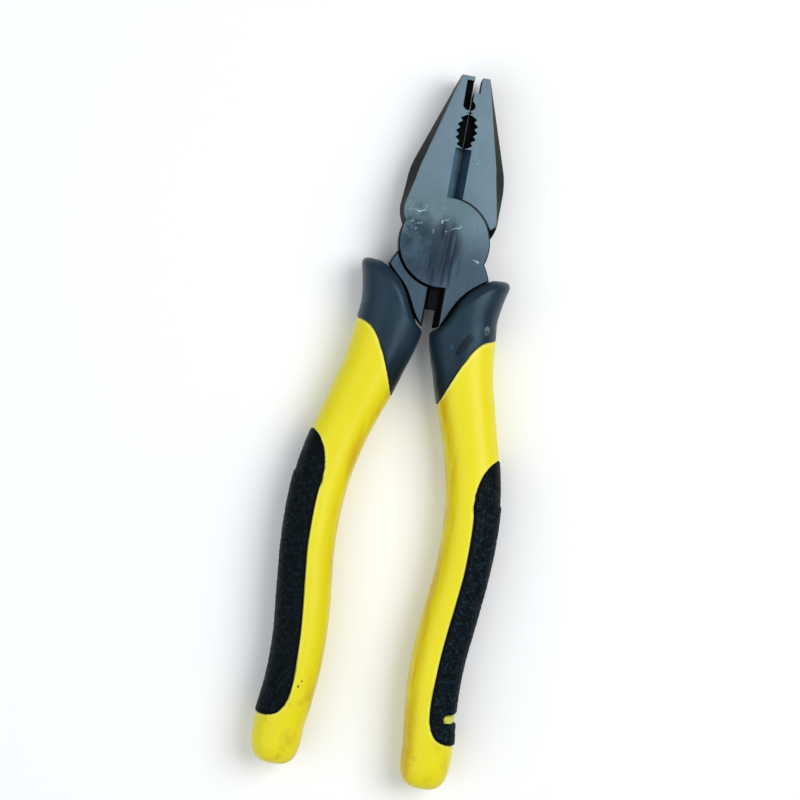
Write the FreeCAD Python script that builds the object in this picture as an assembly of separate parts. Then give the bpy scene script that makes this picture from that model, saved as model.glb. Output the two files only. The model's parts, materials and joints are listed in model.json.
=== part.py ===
"""Lineman pliers, nominal 8 inch: two forged levers lapped face to face on a rivet, with moulded grips.

Each sub-part is worked out in a pivot frame: origin on the pivot axis at half the head's thickness,
+Y towards the jaw tips, +Z out of the upper ground face. place() then moves it so that the origin is
on the bench, under the middle of the whole tool and midway between the grips. All sizes are in
millimetres, with the tool at rest.

The lever whose jaw lies at -X carries the upper half of the lap joint and the grip at +X. The other
lever starts as the same forging turned over about the Y axis, and gets its own tooling in the jaw.
"""
import FreeCAD, Part
import math
import os

from FreeCAD import Vector

# Overall sizes
JAW_REACH = 50.4            # pivot axis to jaw tips
HANDLE_REACH = 162.0        # pivot axis to the ends of the grips
GRIP_SHIFT = -0.55          # the pair of grips sits this far along X from the pivot axis
HEAD_HALF = 5.5             # half of the ground head's thickness
CENTRE_HEIGHT = 9.46        # middle plane above the bench
PIVOT_Y = (HANDLE_REACH - JAW_REACH) / 2

# Lap joint and rivet
BOSS_R = 13.6
BOSS_GAP = 0.35             # visible gap between a round boss and the other lever's seat
LAP_GAP = 0.06              # between the two laps
SHANK_R = 4.0
RIVET_HEAD_R = 5.6
RIVET_HEAD_DEPTH = 1.6
RUNNING_GAP = 0.04          # rivet to the lever that turns on it
FLUSH = 0.05                # the rivet's lower head lies this far below the ground face

# Jaws
PARTING_X = 0.65            # the closed jaws meet along Y at this x
CLOSED_GAP = 0.03           # each jaw's face stands this far off that line when closed
REST_OPENING_DEG = 0.55     # how far the jaws stand open at rest
EDGE_CHAMFER = 0.3
FACE_STEP = 0.5             # the ground face of the shoulder ends this far ahead of the collar

# Outline of a jaw. Each point is (half width, y, sideways shift of the pair of jaws), first in the
# middle plane and then on the ground face.
JAW_TIP = [(4.55, JAW_REACH, 0.85), (4.2, JAW_REACH, 0.65)]
JAW_HIP = [[(13.5, 24.0, 0.55), (10.95, 24.0, 0.5)],
           [(14.3, 20.6, 0.45), (11.7, 20.4, 0.35)],
           [(14.6, 17.0, 0.4), (12.35, 16.9, 0.4)]]
JAW_HEEL = [[(14.9, 9.0, 0.05), (13.85, 9.8, 0.25)],
            [(14.3, 5.7, 0.1), (13.8, 6.8, 0.3)],
            [(13.2, 3.4, 0.1), (12.95, 4.4, 0.3)]]

# Tang inside the grip
TANG_HALF_WIDTH = 4.0
TANG_INNER_FACE = 2.45      # inner edge of the shoulder on the ground face
TANG_INNER_MIDDLE = 1.5     # and in the middle plane, from the grips' own middle
WEB_HALF = 1.6              # each lap runs on into the crotch as a web this thick
WEB_END_Y = -20.2
SHOULDER_END_Y = -25.6      # where the shoulder's inner edge meets the collar
TANG_HALF = 3.6
TANG_END_Y = -151.0

# Grip layers
CORE_WALL = 0.9             # hard core sleeve around the tang
CORE_START_Y = -53.0
CORE_END_Y = -154.0
PAD_DEPTH = 1.6             # how deep the soft pad is let into the shell
PAD_PROUD = 0.25            # how far the pad stands above the shell
COLLAR_LIP = 1.8            # how far the shell reaches in under the collar
COLLAR_SEAT = 1.6           # depth of that lap

# Grip stations: (y, outer x, inner x, half thickness), for the grip at +X.
GRIP_STATIONS = [
    (-6.0, 22.6, 1.0, 7.6), (-10.0, 22.4, 1.2, 8.8), (-14.0, 21.6, 1.3, 9.4),
    (-20.0, 20.6, 1.3, 9.3), (-26.0, 21.1, 1.5, 9.1), (-34.0, 21.9, 2.4, 9.0),
    (-42.0, 23.5, 5.0, 8.9), (-52.0, 26.0, 8.5, 8.7), (-62.0, 28.8, 11.9, 8.6),
    (-72.0, 30.7, 14.2, 8.8), (-84.0, 31.5, 15.5, 9.0), (-96.0, 31.2, 15.4, 9.1),
    (-108.0, 30.0, 14.1, 9.1), (-120.0, 28.9, 13.1, 9.0), (-132.0, 28.4, 13.1, 8.9),
    (-142.0, 29.1, 14.0, 8.7), (-150.0, 30.1, 15.1, 8.2), (-155.0, 30.2, 15.9, 7.4),
    (-158.5, 29.4, 16.8, 6.1), (-160.8, 27.9, 18.2, 4.4), (-162.0, 25.4, 20.7, 2.0),
]
SECTION_POWER = 2.5         # 2 is an ellipse, larger is squarer
SECTION_POINTS = 24

# Seam lines seen from above, for the grip at +X, from the outer side to the inner side.
COLLAR_FRONT = [
    (26.0, -7.6), (21.4, -8.2), (18.5, -8.5), (15.7, -9.5), (12.0, -11.9),
    (8.9, -14.9), (6.9, -17.8), (5.5, -20.6), (3.2, -25.6), (-1.0, -33.0),
]
COLLAR_REAR = [
    (27.0, -23.5), (20.6, -25.5), (16.0, -28.6), (12.6, -33.9), (10.0, -39.8),
    (7.1, -47.0), (4.0, -55.5),
]
PAD_TOP_Y = -61.5
PAD_SHOULDER_Y = -74.0
PAD_HEEL_Y = -140.5
PAD_END_Y = -147.4

# Tooth marks in the jaws, measured along Y from the pivot
CUTTER_FROM, CUTTER_TO = 12.0, 28.6
CUTTER_REACH = 2.3          # width of one bevel on the ground face
CUTTER_LAND = 0.25          # half the thickness of the cutting edge
PIPE_FROM, PIPE_TO = 28.7, 38.8
PIPE_HALF = 3.1             # depth of the toothed hollow in each jaw
TOOTH = 1.1
TOOTH_COUNT = 5
ARCH = 0.86                 # how far along a full arch the hollow's ends come
HOLLOW_FLOOR = 1.5          # each hollow ends this far from the middle plane
LIP = 1.25                  # the left jaw's lip at its tip


def polyline(points):
    return [Part.makeLine(Vector(*a, 0), Vector(*b, 0)) for a, b in zip(points, points[1:])]


def curve(points):
    """One smooth edge through points in the middle plane."""
    spline = Part.BSplineCurve()
    spline.interpolate([Vector(x, y, 0) for x, y in points])
    return spline.toShape()


def arc(a, b, c):
    return Part.Arc(Vector(*a, 0), Vector(*b, 0), Vector(*c, 0)).toShape()


def raised(edges, z):
    wire = Part.Wire(Part.__sortEdges__(edges))
    return wire.translated(Vector(0, 0, z))


def prism(edges, z0, z1):
    """A flat outline made into a solid between two heights."""
    face = Part.Face(Part.Wire(Part.__sortEdges__(edges)))
    return face.translated(Vector(0, 0, z0)).extrude(Vector(0, 0, z1 - z0))


def block(points, z0, z1):
    return prism(polyline(points + points[:1]), z0, z1)


def disc(radius, z0, z1, chamfer=0.0):
    """A round solid on the pivot axis. With a chamfer, its outer end (away from the middle) is broken."""
    if not chamfer:
        return Part.makeCylinder(radius, z1 - z0, Vector(0, 0, z0))
    top = abs(z1) > abs(z0)
    straight = disc(radius, z0, z1 - chamfer) if top else disc(radius, z0 + chamfer, z1)
    base = z1 - chamfer if top else z0
    radii = (radius, radius - chamfer) if top else (radius - chamfer, radius)
    return straight.fuse(Part.makeCone(*radii, chamfer, Vector(0, 0, base)))


def joined(first, *others):
    return first.fuse(list(others)).removeSplitter()


def turned_over(shape):
    """The same forging turned over about the Y axis."""
    return shape.rotated(Vector(0, 0, 0), Vector(0, 1, 0), 180)


def shifted(shape):
    """From the grips' own middle to the pivot frame."""
    return shape.translated(Vector(GRIP_SHIFT, 0, 0))


def place(shape):
    return shape.translated(Vector(-GRIP_SHIFT, PIVOT_Y, CENTRE_HEIGHT))


# ---------------------------------------------------------------- levers

def between(middle, face, level):
    """Along the draft: level 0 is the forging's middle plane and level 1 its ground face."""
    return tuple(m + (f - m) * level for m, f in zip(middle, face))


def drafted(outline):
    """The halves above and below the middle plane of a drafted solid, from outline(level, inset)."""
    levels = [(0.0, 0.0, 0.0), (HEAD_HALF - EDGE_CHAMFER, 1.0, 0.0), (HEAD_HALF, 1.0, EDGE_CHAMFER)]
    slabs = []
    for (z0, level0, inset0), (z1, level1, inset1) in zip(levels, levels[1:]):
        ends = [raised(outline(level0, inset0), z0), raised(outline(level1, inset1), z1)]
        slabs.append(Part.makeLoft(ends, True, True))
    half = joined(*slabs)
    return half, half.mirror(Vector(0, 0, 0), Vector(0, 0, 1))


def jaw(side):
    """The jaw at -X at full thickness, for the lever on one side, with spare metal past the parting face."""
    def outline(level, inset):
        def at(point):
            half_width, y, shift = between(*point, level)
            return (inset - half_width - side * shift, y)
        spare_x = 4.0
        tip_y = JAW_REACH - inset
        hip = [at(point) for point in JAW_HIP]
        heel = [at(point) for point in JAW_HEEL]
        boss_side = (heel[2][0] + 0.6, 0)
        edges = polyline([(spare_x, 0), (spare_x, tip_y), (at(JAW_TIP)[0], tip_y), hip[0]])
        edges += [arc(*hip)]
        edges += polyline([hip[2], heel[0]])
        edges += [arc(*heel)]
        edges += polyline([heel[2], boss_side, (spare_x, 0)])
        return edges

    upper, lower = drafted(outline)
    beside_seat = block([(-10.4, 4.2), (-17.0, 9.8), (-20.0, 9.8), (-20.0, -3.0), (-10.4, -3.0)],
                        -HEAD_HALF - 1, LAP_GAP / 2)
    return joined(upper, lower.cut(beside_seat))


def shoulder(side):
    """The thick part of the tang at +X, from the boss back to the collar."""
    shift = -side * GRIP_SHIFT

    def outline(level, inset):
        draft = 0.35 * (1 - level)
        outer = [(x + draft - inset, y) for x, y in [(12.75, -4.2), (13.9, -6.2), (15.0, -8.8)]]
        middle_x = TANG_INNER_MIDDLE + shift
        inner_x = middle_x + (TANG_INNER_FACE - middle_x) * level + inset
        ahead = FACE_STEP * level + inset
        collar_edge = [(x + shift, y + ahead) for x, y in COLLAR_FRONT[4:8]]
        rear = (inner_x, SHOULDER_END_Y + ahead)
        edges = [arc(*outer), curve([outer[2]] + collar_edge + [rear])]
        return edges + polyline([rear, (inner_x, -9.5), (4.0, -6.0), outer[0]])

    return joined(*drafted(outline))


def crotch_web(side):
    """The upper lap's continuation between the tangs, from the tang at +X almost to the other one."""
    shift = -side * GRIP_SHIFT
    edge = -TANG_INNER_MIDDLE + 0.45 + shift
    root = TANG_INNER_MIDDLE + 1.5 + shift
    outline = [(root, -12.0), (edge, -12.0), (edge, WEB_END_Y + 1.2),
               (edge + 0.9, WEB_END_Y), (root, WEB_END_Y)]
    return block(outline, LAP_GAP / 2, WEB_HALF)


def grip_middle(y):
    """x of the grip's middle line at y, straight between the stations."""
    for a, b in zip(GRIP_STATIONS, GRIP_STATIONS[1:]):
        if a[0] >= y >= b[0]:
            share = (y - a[0]) / (b[0] - a[0])
            return (a[1] + a[2]) / 2 * (1 - share) + (b[1] + b[2]) / 2 * share
    raise ValueError("no grip at y = %g" % y)


def tang_outline(start_y, end_y, half_width):
    """A strip that follows the grip's middle line between two places along Y."""
    steps = 12
    ys = [start_y + (end_y - start_y) * i / steps for i in range(steps + 1)]
    outer = [(grip_middle(y) + half_width, y) for y in ys]
    inner = [(grip_middle(y) - half_width, y) for y in ys]
    edges = [curve(outer), curve(inner)]
    edges += polyline([outer[0], inner[0]])
    edges += polyline([outer[-1], inner[-1]])
    return edges


def tang():
    """The thin end of the forging, which the grip is moulded on, about the grips' own middle."""
    neck_outline = [(13.6, -9.0), (14.4, -14.0), (15.0, -24.0), (16.8, -34.0),
                    (8.4, -34.0), (4.0, -25.0), (4.0, -18.0), (5.0, -9.0)]
    neck = block(neck_outline, -TANG_HALF, TANG_HALF)
    tail = prism(tang_outline(-30.0, TANG_END_Y, TANG_HALF_WIDTH), -TANG_HALF, TANG_HALF)
    return joined(neck, tail)


def lap_seat():
    """What the other lever's round boss needs below the lap plane, with a broken edge."""
    radius = BOSS_R + BOSS_GAP
    bore = disc(radius, -HEAD_HALF - 1, LAP_GAP / 2)
    depth = 1 + EDGE_CHAMFER
    edge = Part.makeCone(radius + depth, radius, depth, Vector(0, 0, -HEAD_HALF - 1))
    return [bore, edge]


def parting_block(side):
    """Everything past the parting face of the jaw on one side, -1 for the jaw at -X."""
    near = PARTING_X + side * CLOSED_GAP
    far = near - side * 30.0
    outline = [(near, -5.0), (near, 60.0), (far, 60.0), (far, -5.0)]
    return on_parting(block(outline, -HEAD_HALF - 1, HEAD_HALF + 1), side)


def on_parting(shape, side):
    """Swing a shape drawn against the closed parting line with its jaw to the rest pose."""
    return shape.rotated(Vector(0, 0, 0), Vector(0, 0, 1), -side * REST_OPENING_DEG / 2)


def bevel_wedge(side):
    """What one cutter bevel removes from the upper side of a jaw."""
    land_x = PARTING_X + side * CLOSED_GAP
    top = HEAD_HALF + 1
    section = [(land_x - side, CUTTER_LAND), (land_x, CUTTER_LAND), (land_x + side * CUTTER_REACH, HEAD_HALF),
               (land_x + side * CUTTER_REACH, top), (land_x - side, top)]
    wire = Part.makePolygon([Vector(x, CUTTER_FROM, z) for x, z in section + section[:1]])
    return Part.Face(wire).extrude(Vector(0, CUTTER_TO - CUTTER_FROM, 0))


def pipe_hollow(side):
    """The toothed hollow in one jaw: teeth along an arch, narrower at the floor."""
    half_length = (PIPE_TO - PIPE_FROM) / 2
    middle = (PIPE_TO + PIPE_FROM) / 2
    land_x = PARTING_X + side * CLOSED_GAP

    def outline(scale, z):
        points = [(land_x - side, middle - half_length * scale)]
        for i in range(2 * TOOTH_COUNT + 1):
            along = -1 + i / TOOTH_COUNT
            arch = math.sqrt(1 - (ARCH * along) ** 2)
            depth = (PIPE_HALF * arch - (TOOTH if i % 2 == 0 else 0.0)) * scale
            points.append((land_x + side * depth, middle + along * half_length * scale))
        points.append((land_x - side, middle + half_length * scale))
        return Part.makePolygon([Vector(x, y, z) for x, y in points + points[:1]])

    return Part.makeLoft([outline(0.85, HOLLOW_FLOOR), outline(1.0, HEAD_HALF + 0.01)], True, True)


def relief(side, depth, y0, y1, corner):
    """A straight relief beside the parting line, with a slanted lower corner."""
    near = PARTING_X - side
    far = PARTING_X + side * depth
    points = [(near, y0), (far - side * corner, y0), (far, y0 + corner), (far, y1), (near, y1)]
    return block(points, HOLLOW_FLOOR, HEAD_HALF + 1)


def lens(side, depth, y0, y1):
    """A small pointed pocket beside the parting line."""
    near = PARTING_X - side
    third = (y1 - y0) / 3
    points = [(near, y0), (PARTING_X + side * 0.3, y0), (PARTING_X + side * depth, y0 + third),
              (PARTING_X + side * depth * 0.9, y1 - third), (PARTING_X + side * 0.2, y1), (near, y1)]
    return block(points, HOLLOW_FLOOR, HEAD_HALF + 1)


def notch(side, y, half_height, depth):
    """A small V notch in the gripping edge."""
    near = PARTING_X - side * 0.5
    points = [(near, y - half_height), (PARTING_X + side * depth, y), (near, y + half_height)]
    return block(points, HOLLOW_FLOOR, HEAD_HALF + 1)


def edge_teeth(side, y0, y1, count):
    """A row of V notches along the gripping edge."""
    pitch = (y1 - y0) / count
    return [notch(side, y0 + pitch * (i + 0.5), pitch * 0.45, 0.35) for i in range(count)]


def both_faces(cutters):
    return cutters + [c.mirror(Vector(0, 0, 0), Vector(0, 0, 1)) for c in cutters]


def left_tooling():
    """Cutter, pipe hollow, and the long relief behind the lip, in the jaw at -X."""
    long_relief = relief(-1, 2.25, 40.2, JAW_REACH - LIP, 1.0)
    return both_faces([bevel_wedge(-1), pipe_hollow(-1), long_relief, notch(-1, 39.4, 0.45, 0.7)])


def right_tooling():
    """Cutter, pipe hollow, gripping teeth, small pocket and the open notch at the tip, in the jaw at +X."""
    near = PARTING_X - 1.0
    far = PARTING_X + 1.8
    tip_notch = block([(near, 45.6), (far, 45.6), (far, JAW_REACH + 2), (near, JAW_REACH + 2)],
                      -HEAD_HALF - 1, HEAD_HALF + 1)
    cutters = [bevel_wedge(1), pipe_hollow(1), lens(1, 1.1, 40.2, 43.0), notch(1, 39.4, 0.45, 0.8)]
    return [tip_notch] + both_faces(cutters + edge_teeth(1, 43.1, 45.6, 3))


def rivet():
    """Shank and two countersunk heads: flush in the upper lever, just below the face in the lower one."""
    shank = disc(SHANK_R, -HEAD_HALF + FLUSH, HEAD_HALF)
    upper = Part.makeCone(SHANK_R, RIVET_HEAD_R, RIVET_HEAD_DEPTH, Vector(0, 0, HEAD_HALF - RIVET_HEAD_DEPTH))
    lower = Part.makeCone(RIVET_HEAD_R, SHANK_R, RIVET_HEAD_DEPTH, Vector(0, 0, -HEAD_HALF + FLUSH))
    return joined(shank, upper, lower)


def rivet_seat(gap, sink):
    """What the rivet needs in the upper lever, with a gap all round it and its head sunk a little."""
    start = HEAD_HALF - sink - RIVET_HEAD_DEPTH
    shank = disc(SHANK_R + gap, -HEAD_HALF - 1, HEAD_HALF + 1)
    cone = Part.makeCone(SHANK_R + gap, RIVET_HEAD_R + gap, RIVET_HEAD_DEPTH, Vector(0, 0, start))
    mouth = disc(RIVET_HEAD_R + gap, start + RIVET_HEAD_DEPTH, HEAD_HALF + 1)
    return joined(shank, cone, mouth)


def as_forged(shape):
    return shape


def lever(side, turn, tooling, seat):
    """One whole lever. turn() brings the forging with its jaw at -X to this lever's side."""
    swung_tooling = [on_parting(cutter, side) for cutter in tooling]
    trimmed_jaw = turn(jaw(side)).cut([parting_block(side)] + swung_tooling)
    boss = disc(BOSS_R, LAP_GAP / 2, HEAD_HALF, EDGE_CHAMFER)
    body = joined(trimmed_jaw, *[turn(piece) for piece in (boss, shoulder(side), crotch_web(side))])
    body = joined(body, shifted(turn(tang())))
    return body.cut([turn(cutter) for cutter in lap_seat() + [seat]])


def left_jaw_lever():
    return lever(-1, as_forged, left_tooling(), rivet_seat(0.0, 0.0))


def right_jaw_lever():
    return lever(1, turned_over, right_tooling(), rivet_seat(RUNNING_GAP, FLUSH))


# ---------------------------------------------------------------- grips

def section(y, outer_x, inner_x, half_thickness, shrink=0.0):
    """One closed cross-section of the grip, a rounded oblong in a plane across Y."""
    middle = (outer_x + inner_x) / 2
    half_width = (outer_x - inner_x) / 2 - shrink
    half_height = half_thickness - shrink
    points = []
    for i in range(SECTION_POINTS):
        angle = 2 * math.pi * i / SECTION_POINTS
        c, s = math.cos(angle), math.sin(angle)
        x = math.copysign(abs(c) ** (2 / SECTION_POWER), c) * half_width
        z = math.copysign(abs(s) ** (2 / SECTION_POWER), s) * half_height
        points.append(Vector(middle + x, y, z))
    spline = Part.BSplineCurve()
    spline.interpolate(points, PeriodicFlag=True)
    return Part.Wire([spline.toShape()])


def grip_body(shrink=0.0, last=None):
    """The whole outer form of a grip, or the same form smaller all round."""
    stations = GRIP_STATIONS[:last]
    return Part.makeLoft([section(*s, shrink=shrink) for s in stations], True, False)


def behind(line, shift=0.0):
    """Everything behind a seam line, towards the end of the grip."""
    seam = curve([(x, y - shift) for x, y in line])
    first, last = seam.valueAt(seam.FirstParameter), seam.valueAt(seam.LastParameter)
    far = -HANDLE_REACH - 10
    corners = [(first.x, first.y), (60.0, first.y), (60.0, far)]
    corners += [(-30.0, far), (-30.0, last.y), (last.x, last.y)]
    return prism([seam] + polyline(corners), -20, 20)


def pad_region(margin=0.0):
    """The area of the soft pad, seen from above."""
    ys = [PAD_SHOULDER_Y, -84.0, -96.0, -108.0, -120.0, -132.0, PAD_HEEL_Y]
    inner = [(grip_middle(y), y) for y in ys]
    top = [(30.5, PAD_TOP_Y + 1.6), (28.3, PAD_TOP_Y), (25.6, PAD_TOP_Y - 2.6), (23.5, PAD_TOP_Y - 6.6)]
    end = [(22.6, PAD_END_Y + 3.0), (25.6, PAD_END_Y + 0.3), (29.0, PAD_END_Y), (31.0, PAD_END_Y + 0.4)]
    seam = curve(top + inner + end)
    return prism([seam] + polyline([end[-1], (60.0, end[-1][1]), (60.0, top[0][1]), top[0]]), -20, 20)


def pad_window():
    """The small slanted window in one pad, open to its outer side, where the shell shows."""
    root_x = 26.2
    root_y = -139.3
    rise = 8.0
    half = 1.3
    edges = polyline([(root_x, root_y + half), (40.0, root_y + half + rise), (40.0, root_y - half + rise),
                      (root_x, root_y - half)])
    edges += [arc((root_x, root_y - half), (root_x - half, root_y - 0.2), (root_x, root_y + half))]
    return prism(edges, -20, 20)


def grip_parts(windowed):
    """The solids of the grip at +X: core, shell, collar and pad."""
    steel = tang()
    sleeve = prism(tang_outline(CORE_START_Y, CORE_END_Y, TANG_HALF_WIDTH + CORE_WALL),
                   -TANG_HALF - CORE_WALL, TANG_HALF + CORE_WALL)
    form = grip_body()
    rear = behind(COLLAR_REAR)
    lap = grip_body(shrink=COLLAR_SEAT).common(behind(COLLAR_REAR, -COLLAR_LIP)).cut(rear)
    collar = form.common(behind(COLLAR_FRONT)).cut([rear, steel, lap])
    pad = grip_body(shrink=-PAD_PROUD).common(pad_region()).cut(grip_body(shrink=PAD_DEPTH))
    if windowed:
        pad = pad.cut(pad_window())
    shell = form.common(rear).fuse(lap).removeSplitter().cut([pad, steel, sleeve])
    return {"grip_core": sleeve.cut(steel), "grip_shell": shell, "guard_collar": collar, "palm_pad": pad}


def on_left(shape):
    return shape.mirror(Vector(0, 0, 0), Vector(1, 0, 0))


def build():
    solids = {
        "left_jaw_lever": left_jaw_lever(),
        "right_jaw_lever": right_jaw_lever(),
        "pivot_rivet": rivet(),
    }
    for name, shape in grip_parts(windowed=True).items():
        solids["right_" + name] = shifted(shape)
    for name, shape in grip_parts(windowed=False).items():
        solids["left_" + name] = shifted(on_left(shape))
    return solids


def main():
    os.makedirs("parts", exist_ok=True)
    for name, shape in build().items():
        placed = place(shape)
        box = placed.BoundBox
        print("%-18s solids %d valid %s volume %8.1f  x %.2f..%.2f y %.2f..%.2f z %.2f..%.2f" % (
            name, len(placed.Solids), placed.isValid(), placed.Volume,
            box.XMin, box.XMax, box.YMin, box.YMax, box.ZMin, box.ZMax))
        placed.exportStep("parts/%s.step" % name)


main()
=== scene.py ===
"""The looks of the lineman pliers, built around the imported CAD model.

The two steel levers and the rivet are the CAD nodes themselves with a procedural steel. The grips are
replaced: each shell, guard collar and palm pad is a fine mesh worked out from one smooth grip form,
with real steps, rolled edges and grain. Grip lengths are in millimetres from a point midway between the
grips, level with the pivot axis and at half the head's thickness, until to_row() turns them into metres.
"""

import json
import math

import bmesh
import bpy
import numpy as np
from mathutils import Matrix, Vector, noise


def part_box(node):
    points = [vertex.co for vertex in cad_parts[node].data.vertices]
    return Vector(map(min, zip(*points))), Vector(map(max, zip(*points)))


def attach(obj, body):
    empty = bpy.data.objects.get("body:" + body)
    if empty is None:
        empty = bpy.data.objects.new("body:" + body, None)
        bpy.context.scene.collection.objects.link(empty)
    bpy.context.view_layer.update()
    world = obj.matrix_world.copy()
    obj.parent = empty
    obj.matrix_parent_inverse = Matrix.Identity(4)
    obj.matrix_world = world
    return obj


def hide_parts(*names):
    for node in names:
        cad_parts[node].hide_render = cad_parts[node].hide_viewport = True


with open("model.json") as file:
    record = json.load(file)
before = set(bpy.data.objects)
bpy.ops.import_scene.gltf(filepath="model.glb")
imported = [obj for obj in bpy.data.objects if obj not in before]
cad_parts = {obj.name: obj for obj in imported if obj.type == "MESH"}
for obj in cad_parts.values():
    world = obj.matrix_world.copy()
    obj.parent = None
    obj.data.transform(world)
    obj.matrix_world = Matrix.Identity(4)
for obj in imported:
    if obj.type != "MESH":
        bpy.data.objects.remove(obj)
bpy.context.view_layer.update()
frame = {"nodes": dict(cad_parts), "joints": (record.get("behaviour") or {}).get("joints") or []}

MM = 0.001
PIVOT = Vector(frame["joints"][0]["pos_m"])
GRIPS = Vector((0.0, PIVOT.y, PIVOT.z))     # the grips mirror each other about this point
TOP_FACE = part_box("left_jaw_lever")[1][2]

# Grip form for the grip at +X: (y, outer x, inner x, half thickness)
GRIP_KNOTS = [
    (-4.0, 23.1, 1.0, 7.4), (-7.0, 22.9, 1.1, 8.2), (-10.0, 22.4, 1.2, 8.8),
    (-13.0, 21.7, 1.3, 9.2), (-16.0, 21.1, 1.35, 9.35), (-20.0, 20.6, 1.15, 9.3),
    (-26.0, 21.05, 1.1, 9.1), (-30.0, 21.45, 1.7, 9.05), (-35.0, 22.05, 3.05, 9.0),
    (-40.0, 22.95, 4.65, 8.95), (-45.0, 24.3, 6.1, 8.85), (-50.0, 25.55, 7.8, 8.75),
    (-55.0, 26.85, 9.6, 8.65), (-60.0, 28.25, 11.3, 8.6), (-65.0, 29.5, 12.65, 8.65),
    (-70.0, 30.4, 13.8, 8.75), (-75.0, 31.05, 14.7, 8.85), (-82.0, 31.45, 15.4, 8.95),
    (-90.0, 31.45, 15.6, 9.0), (-98.0, 31.05, 15.3, 9.05), (-106.0, 30.3, 14.4, 9.1),
    (-114.0, 29.5, 13.55, 9.1), (-122.0, 28.65, 13.1, 9.0), (-130.0, 28.4, 13.05, 8.9),
    (-138.0, 28.7, 13.6, 8.75), (-145.0, 29.5, 14.35, 8.5), (-150.0, 30.15, 15.1, 8.2),
]
FORM = np.array(sorted(GRIP_KNOTS))     # the same knots with y rising
SECTION_POWER = 2.35        # 2 is an ellipse, larger is squarer
END_Y = -150.0              # where the rounded end begins
END_LENGTH = 12.0
END_POWER = 3.2             # the end's outline, again 2 is an ellipse
ROUND_STEPS = 144           # points round a section

# Seams seen from above. A collar's seams run from the outer side to the inner side, and the pad's seam
# starts and ends at the outer side.
COLLAR_FRONT = [
    (26.0, -7.6), (21.4, -8.2), (18.5, -8.5), (15.7, -9.5), (12.0, -11.9), (8.9, -14.9), (6.9, -17.8),
    (5.5, -20.4), (3.6, -23.4), (2.2, -25.0), (-1.0, -27.2),
]
COLLAR_REAR = [
    (27.0, -24.4), (21.0, -26.3), (17.15, -28.0), (12.25, -35.0), (9.95, -40.0), (7.1, -47.6), (3.6, -57.5),
]
PAD_SEAM = [
    (31.2, -60.1), (28.1, -61.3), (26.2, -62.9), (24.75, -65.0), (23.1, -70.0), (22.8, -75.0), (23.45, -80.0),
    (23.75, -87.0), (23.7, -95.0), (22.8, -105.0), (21.7, -115.0), (20.85, -125.0), (20.7, -133.0),
    (21.0, -139.5), (22.0, -143.4), (24.3, -146.3), (26.6, -147.2), (29.0, -147.5), (31.2, -147.6),
]
FAR_IN, FAR_OUT, FAR_BACK = -40.0, 60.0, -200.0     # corners well past the grip, to close a seam's area
COLLAR_SEAMS_Y = (-75.0, -4.5)      # both collar seams cross the grip within this stretch
HALVINGS = 40                       # of that stretch, to find a crossing

# The slanted window in the right pad, a slot with a round inner end
WINDOW_ROOT = (26.7, -139.8)
WINDOW_HALF = 1.25
WINDOW_RISE = 0.8           # it climbs this much for each millimetre outwards
WINDOW_LENGTH = 12.0        # far enough to run out over the grip's outer side
WINDOW_DEPTH = 1.6
NOSE_POINTS = 13            # round its inner end

# Steps and rolls at the seams
SHELL_UNDER = 1.2           # the shell runs this deep under collar and pad
COLLAR_LIP = 2.5            # and this far ahead under the collar
COLLAR_PROUD = 0.12
RIM_ROLL, RIM_ROLL_TOP = 1.9, 1.3   # width of the round at the collar's front, and what the top adds
RIM_DROP, RIM_DROP_TOP = 1.9, 1.6   # how far that round falls, and what the top adds
PAD_PROUD = 0.22
PAD_STEP_Y = -74.5          # here a pad steps up, on its outer side
PAD_STEP = 0.4
PAD_FRONT, PAD_END = -60.85, -147.35
PAD_THICKNESS = 1.7
EDGE_ROLL = 0.65
EDGE_DIP = 0.6
GRAIN_DEPTH = 0.2
GRAIN_ACROSS, GRAIN_ALONG = 1.05, 0.8       # pebbles for each millimetre
PEBBLE_SLOPE = 2.6          # larger makes the pebbles flatter on top and the creases narrower
PEBBLE_MEAN = 0.6           # this height of grain is level with the smooth part
WANDER_SCALE = 0.7          # of the noise that bends the rows of pebbles
WANDER = 0.35

# Fades, from and to: millimetres past a seam, behind the pivot, or a share of the half width
SHELL_RISE = (-0.3, 0.15)           # past the collar's rear seam the shell comes up
SHELL_SINK = (-0.15, 0.3)           # past the pad's seam it goes down
WINDOW_RISE_EDGE = (-0.1, 0.25)     # past the window's edge it comes up again
WINDOW_TINT = (-0.1, 0.3)
WINDOW_SINK = (-0.35, 0.1)          # past the window's edge the pad goes down
SEAM_LINE = (0.5, 1.1)              # the shell's painted highlight, a pale line along a seam
INNER_SIDE = (0.35, 0.95)           # share of the half width, towards the other grip
OUTER_SIDE = (0.55, 0.95)           # and away from it
COLLAR_DARKENS = (22.0, 46.0)       # behind the pivot; from here back the collar is painted darker as painted shade at its rear
COLLAR_DARK_END = (-14.0, -2.0)     # past the collar's rear seam
GRAIN_STARTS = (61.5, 73.0)         # behind the pivot
GRAIN_EDGE = (0.3, 1.2)             # past the pad's seam

# Mesh rows and columns
SHELL_LEVEL_Y = -62.0       # from here back the shell's rows are square to the tool
SHELL_FRONT_ROWS, SHELL_END_ROWS = 90, 36
SHELL_PITCH = 0.4
COLLAR_RIM_ROWS, COLLAR_MIDDLE_ROWS, COLLAR_REAR_ROWS = 22, 52, 8
COLLAR_RIM_SHARE, COLLAR_REAR_SHARE = 0.18, 0.97    # of the collar's length, from its front
PAD_ROWS, PAD_COLUMNS = 400, 110
PAD_CROWDING = 0.55         # 0 spaces a pad's rows evenly, 1 crowds them at its ends
PAD_REACH = 0.98            # of the half width, the furthest a pad goes round the inner side

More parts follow.
